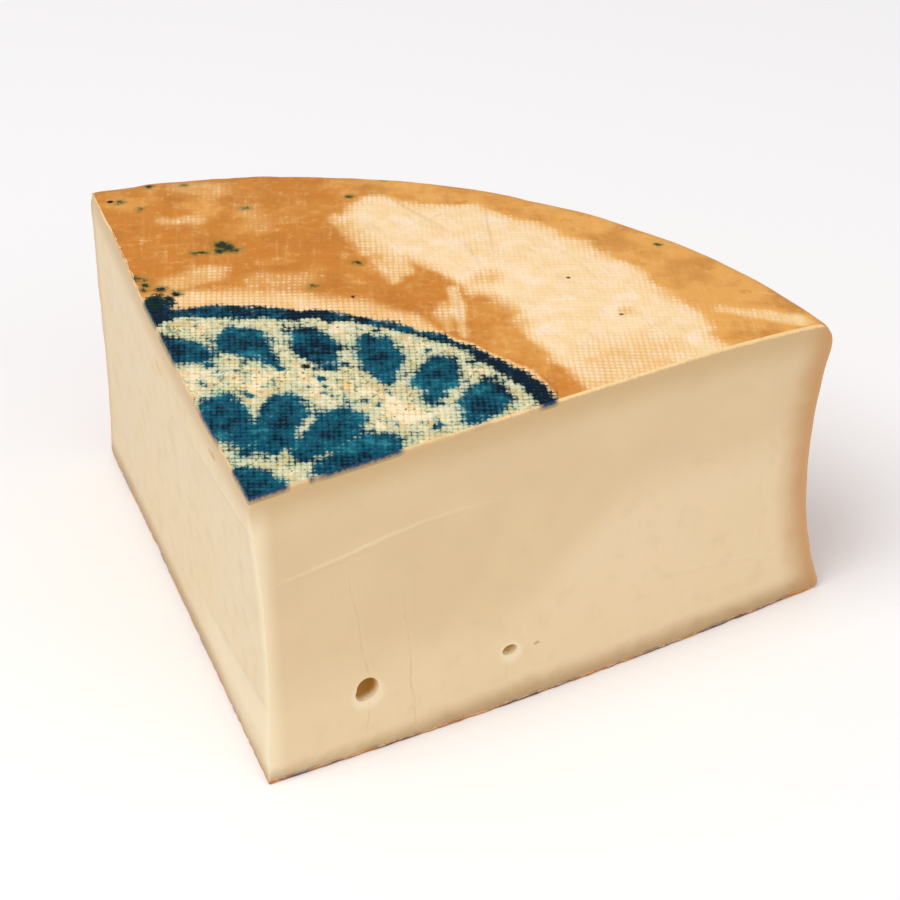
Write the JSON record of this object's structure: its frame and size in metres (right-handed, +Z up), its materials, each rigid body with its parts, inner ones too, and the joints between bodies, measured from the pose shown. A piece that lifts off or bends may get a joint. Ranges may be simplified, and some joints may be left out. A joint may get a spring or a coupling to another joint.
{
  "type": "fontina cheese wedge",
  "caption": "Thick wedge cut from a round washed-rind cheese wheel, with a drawn-in heel, a domed top rind and two slightly curved cut faces, resting on its flat base.",
  "frame": {"origin": "middle of the bounding box at the height of the base", "axes": "+Z up, +Y along the bisector from the point of the wedge to its heel, +X across the wedge"},
  "size_m": [0.231, 0.1807, 0.0927],
  "materials": {
    "cheese": "satin"
  },
  "bodies": {
    "root": {"cheese_wedge": "cheese"}
  },
  "joints": []
}
